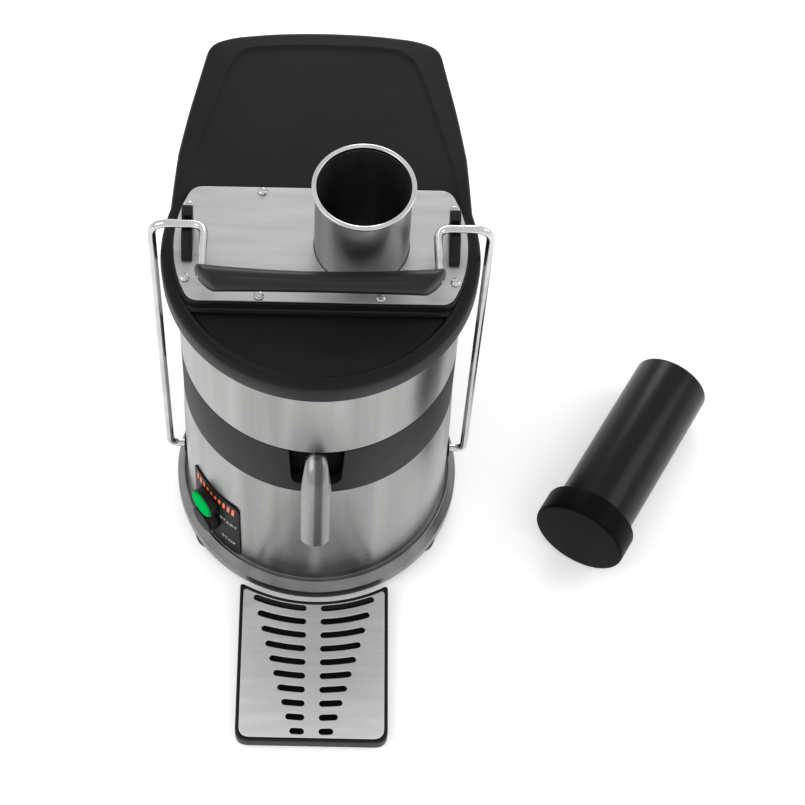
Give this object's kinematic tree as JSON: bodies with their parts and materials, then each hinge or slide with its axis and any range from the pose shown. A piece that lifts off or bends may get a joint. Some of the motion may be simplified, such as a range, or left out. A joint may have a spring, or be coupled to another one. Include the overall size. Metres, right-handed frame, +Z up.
{
  "type": "centrifugal juicer",
  "caption": "Centrifugal juicer: round steel housing and bowl, black lid with feed tube and rear pulp chute, wire bail with grip, front spout, slotted drip tray and loose pusher.",
  "frame": {"origin": "centre of the base plate's underside, 10 mm above the worktop that the feet stand on", "axes": "+Z up along the motor shaft; -Y towards the spout and the drip tray; +X to the right seen from the front"},
  "size_m": [0.5161, 0.5005, 0.4869],
  "materials": {
    "satin_steel": "satin brushed",
    "bright_steel": "polished",
    "black_plastic": "satin moulded",
    "grey_plastic": "satin moulded",
    "green_plastic": "gloss moulded",
    "rubber": "matt",
    "cast_aluminium": "as cast",
    "laminations": "satin"
  },
  "bodies": {
    "base": {"base_plate": "satin_steel", "base_ring": "bright_steel", "foot_front_left": "rubber", "foot_front_right": "rubber", "foot_back_left": "rubber", "foot_back_right": "rubber", "housing": "satin_steel", "seat_band": "grey_plastic", "bowl": "satin_steel", "bowl_shoulder": "satin_steel", "bowl_well": "satin_steel", "spout": "satin_steel", "stator": "laminations", "motor_bell_top": "cast_aluminium", "motor_bell_bottom": "cast_aluminium", "bearing_top": "bright_steel", "bearing_bottom": "bright_steel", "shaft_seal": "rubber", "capacitor": "black_plastic", "switch_block": "black_plastic", "cable_gland": "black_plastic", "control_panel": "grey_plastic", "start_collar": "black_plastic", "stop_collar": "black_plastic", "bush_left": "black_plastic", "bush_right": "black_plastic"},
    "rotor": {"shaft": "bright_steel", "rotor_core": "laminations", "cooling_fan": "black_plastic", "drive_hub": "cast_aluminium", "filter_basket": "bright_steel", "grating_disc": "bright_steel", "clamp_nut": "bright_steel"},
    "lid": {"lid": "black_plastic", "lid_gasket": "rubber", "top_plate": "satin_steel", "feed_tube": "bright_steel", "lug_left": "black_plastic", "lug_right": "black_plastic", "plate_screw_1": "bright_steel", "plate_screw_2": "bright_steel", "plate_screw_3": "bright_steel", "plate_screw_4": "bright_steel", "plate_screw_5": "bright_steel", "plate_screw_6": "bright_steel", "plate_screw_7": "bright_steel", "plate_screw_8": "bright_steel"},
    "bail": {"bail_left": "bright_steel", "bail_right": "bright_steel", "bail_grip": "black_plastic"},
    "start": {"start_button": "green_plastic"},
    "stop": {"stop_button": "black_plastic"},
    "tray": {"tray": "black_plastic"},
    "grille": {"tray_grille": "satin_steel"},
    "container": {"pulp_container": "black_plastic"},
    "pusher": {"pusher_cap": "black_plastic", "pusher_barrel": "black_plastic"}
  },
  "joints": [
    {"name": "rotor_spin", "type": "hinge", "parent": "base", "child": "rotor", "pos_m": [0, 0, 0.2], "axis": [0, 0, 1], "continuous": true},
    {"name": "lid_lift", "type": "slide", "parent": "base", "child": "lid", "axis": [0, 0, 1], "range_m": [0, 0.077]},
    {"name": "bail_swing", "type": "hinge", "parent": "base", "child": "bail", "pos_m": [0, 0, 0.056], "axis": [1, 0, 0], "range_deg": [0, 85]},
    {"name": "start_press", "type": "slide", "parent": "base", "child": "start", "axis": [0.788, 0.6157, 0], "range_m": [0, 0.003], "stiffness_N_per_m": 800, "springref_m": -0.002},
    {"name": "stop_press", "type": "slide", "parent": "base", "child": "stop", "axis": [0.788, 0.6157, 0], "range_m": [0, 0.003], "stiffness_N_per_m": 800, "springref_m": -0.002},
    {"name": "tray_pull", "type": "slide", "parent": "base", "child": "tray", "axis": [0, -1, 0], "range_m": [0, 0.15]},
    {"name": "grille_lift", "type": "slide", "parent": "tray", "child": "grille", "axis": [0, 0, 1], "range_m": [0, 0.1]},
    {"name": "container_pull", "type": "slide", "parent": "base", "child": "container", "axis": [0, 1, 0], "range_m": [0, 0.2]},
    {"name": "pusher_lift", "type": "slide", "parent": "base", "child": "pusher", "axis": [0, 0, 1], "range_m": [0, 0.3]}
  ],
  "couplings": [
    {"joint": "bail_swing", "follows": "lid_lift", "rad_per_m": 19.2}
  ]
}
